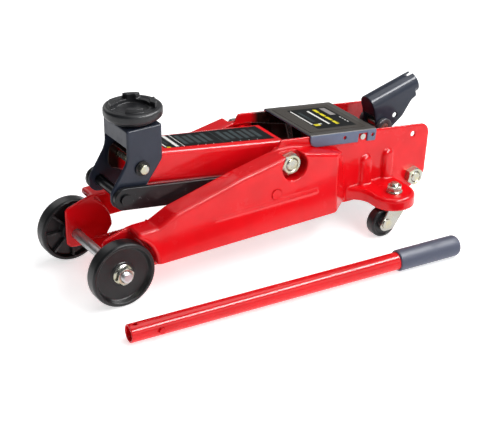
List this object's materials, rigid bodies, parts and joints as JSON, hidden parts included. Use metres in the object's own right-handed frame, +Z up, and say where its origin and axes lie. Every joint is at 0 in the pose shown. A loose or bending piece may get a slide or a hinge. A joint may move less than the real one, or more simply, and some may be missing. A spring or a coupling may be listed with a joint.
{
  "type": "trolley jack",
  "caption": "Low hydraulic trolley jack with pressed side plates, a lift arm with levelling rods, a turning saddle, front wheels, rear casters and a loose pump handle.",
  "frame": {"origin": "middle of the footprint of the jack with its handle beside it, on the floor", "axes": "+X along the jack to the handle end, +Y to its right side, +Z up; the saddle is at -X and the loose handle at -Y"},
  "size_m": [0.4512, 0.272, 0.19],
  "materials": {
    "red_paint": "gloss enamel",
    "handle_red": "gloss enamel",
    "black_paint": "satin black",
    "black_cast": "black oxide",
    "cover_sheet": "satin charcoal",
    "zinc": "yellow-tinged zinc plate",
    "fork_zinc": "bright zinc plate",
    "bare_steel": "ground steel",
    "pump_cast": "cast, oiled",
    "tank_steel": "satin black",
    "spring_steel": "drawn wire",
    "wheel_black": "moulded nylon",
    "grip_rubber": "moulded vinyl",
    "label_black": "printed film with plain bars"
  },
  "bodies": {
    "chassis": {"side_plate_left": "red_paint", "side_plate_right": "red_paint", "front_tray": "red_paint", "front_axle": "bare_steel", "axle_spacers": "bare_steel", "axle_nuts": "zinc", "arm_pivot_bolt": "zinc", "arm_pivot_nut": "zinc", "arm_pivot_sleeves": "bare_steel", "rod_studs": "red_paint", "top_cover": "cover_sheet", "cover_label": "label_black", "cover_screws": "zinc", "pump_block": "pump_cast", "block_bolts": "zinc", "valve_caps": "zinc", "reservoir_shell": "tank_steel", "ram_cylinder": "tank_steel", "gland_nut": "pump_cast", "filler_plug": "bare_steel", "return_springs": "spring_steel", "plunger_spring": "spring_steel", "socket_pin": "zinc", "caster_studs": "zinc", "caster_nuts": "zinc", "caster_washers": "zinc"},
    "front_wheel_left": {"front_wheel_left": "wheel_black"},
    "front_wheel_right": {"front_wheel_right": "wheel_black"},
    "lift_arm": {"lift_arm": "red_paint", "ram_pin": "bare_steel", "spring_hooks": "red_paint", "arm_label": "label_black"},
    "saddle_bracket": {"saddle_bracket": "black_paint", "bracket_pin": "zinc", "bracket_washers": "black_paint", "rod_pin": "black_paint"},
    "saddle": {"saddle": "black_cast", "saddle_clip": "zinc"},
    "link_rods": {"link_rod_left": "black_paint", "link_rod_right": "black_paint"},
    "ram": {"ram": "bare_steel"},
    "handle_socket": {"handle_socket": "black_paint", "pump_roller": "bare_steel"},
    "pump_plunger": {"pump_plunger": "bare_steel"},
    "release_valve": {"release_valve": "bare_steel"},
    "caster_fork_left": {"caster_fork_left": "fork_zinc", "caster_axle_left": "zinc"},
    "caster_fork_right": {"caster_fork_right": "fork_zinc", "caster_axle_right": "zinc"},
    "caster_wheel_left": {"caster_wheel_left": "wheel_black"},
    "caster_wheel_right": {"caster_wheel_right": "wheel_black"},
    "handle": {"handle_tube": "handle_red", "handle_grip": "grip_rubber"},
    "handle_button": {"handle_button": "bare_steel"}
  },
  "joints": [
    {"name": "front_wheel_left_spin", "type": "hinge", "parent": "chassis", "child": "front_wheel_left", "pos_m": [-0.19059, -0.02323, 0.035], "axis": [0, 1, 0], "continuous": true},
    {"name": "front_wheel_right_spin", "type": "hinge", "parent": "chassis", "child": "front_wheel_right", "pos_m": [-0.19059, 0.09317, 0.035], "axis": [0, 1, 0], "continuous": true},
    {"name": "lift", "type": "hinge", "parent": "chassis", "child": "lift_arm", "pos_m": [0.01541, 0.03497, 0.104], "axis": [0, 1, 0], "range_deg": [-18, 50], "deforming": ["return_springs"]},
    {"name": "saddle_level", "type": "hinge", "parent": "lift_arm", "child": "saddle_bracket", "pos_m": [-0.14596, 0.03497, 0.12697], "axis": [0, 1, 0], "range_deg": [-50, 18]},
    {"name": "saddle_turn", "type": "hinge", "parent": "saddle_bracket", "child": "saddle", "pos_m": [-0.14059, 0.03497, 0.17], "axis": [0, 0, 1], "continuous": true},
    {"name": "rods_swing", "type": "hinge", "parent": "chassis", "child": "link_rods", "pos_m": [-0.00809, 0.03497, 0.0775], "axis": [0, 1, 0], "range_deg": [-18, 50]},
    {"name": "ram_slide", "type": "slide", "parent": "chassis", "child": "ram", "axis": [-1, 0, 0], "range_m": [-0.01391, 0.03792]},
    {"name": "pump_stroke", "type": "hinge", "parent": "chassis", "child": "handle_socket", "pos_m": [0.17141, 0.03497, 0.096], "axis": [0, -1, 0], "range_deg": [-14, 32], "deforming": ["plunger_spring"]},
    {"name": "plunger_slide", "type": "slide", "parent": "chassis", "child": "pump_plunger", "axis": [1, 0, 0], "range_m": [-0.00397, 0.00855]},
    {"name": "valve_turn", "type": "hinge", "parent": "chassis", "child": "release_valve", "pos_m": [0.20741, 0.03497, 0.045], "axis": [1, 0, 0], "range_deg": [0, 180]},
    {"name": "caster_left_swivel", "type": "hinge", "parent": "chassis", "child": "caster_fork_left", "pos_m": [0.13941, -0.04453, 0.035], "axis": [0, 0, 1], "continuous": true},
    {"name": "caster_left_spin", "type": "hinge", "parent": "caster_fork_left", "child": "caster_wheel_left", "pos_m": [0.12341, -0.04453, 0.017], "axis": [0, 1, 0], "continuous": true},
    {"name": "caster_right_swivel", "type": "hinge", "parent": "chassis", "child": "caster_fork_right", "pos_m": [0.13941, 0.11447, 0.035], "axis": [0, 0, 1], "continuous": true},
    {"name": "caster_right_spin", "type": "hinge", "parent": "caster_fork_right", "child": "caster_wheel_right", "pos_m": [0.12341, 0.11447, 0.017], "axis": [0, 1, 0], "continuous": true},
    {"name": "handle_lift_off", "type": "slide", "parent": "chassis", "child": "handle", "axis": [0, 0, 1], "range_m": [0, 0.06]},
    {"name": "button_press", "type": "slide", "parent": "handle", "child": "handle_button", "axis": [0.0854, 0.9963, 0], "range_m": [0, 0.0024], "stiffness_N_per_m": 900}
  ],
  "couplings": [
    {"joint": "saddle_level", "follows": "lift", "ratio": -1},
    {"joint": "rods_swing", "follows": "lift", "ratio": 1},
    {"joint": "ram_slide", "follows": "lift", "m_per_rad": 0.043},
    {"joint": "plunger_slide", "follows": "pump_stroke", "m_per_rad": 0.0146}
  ]
}
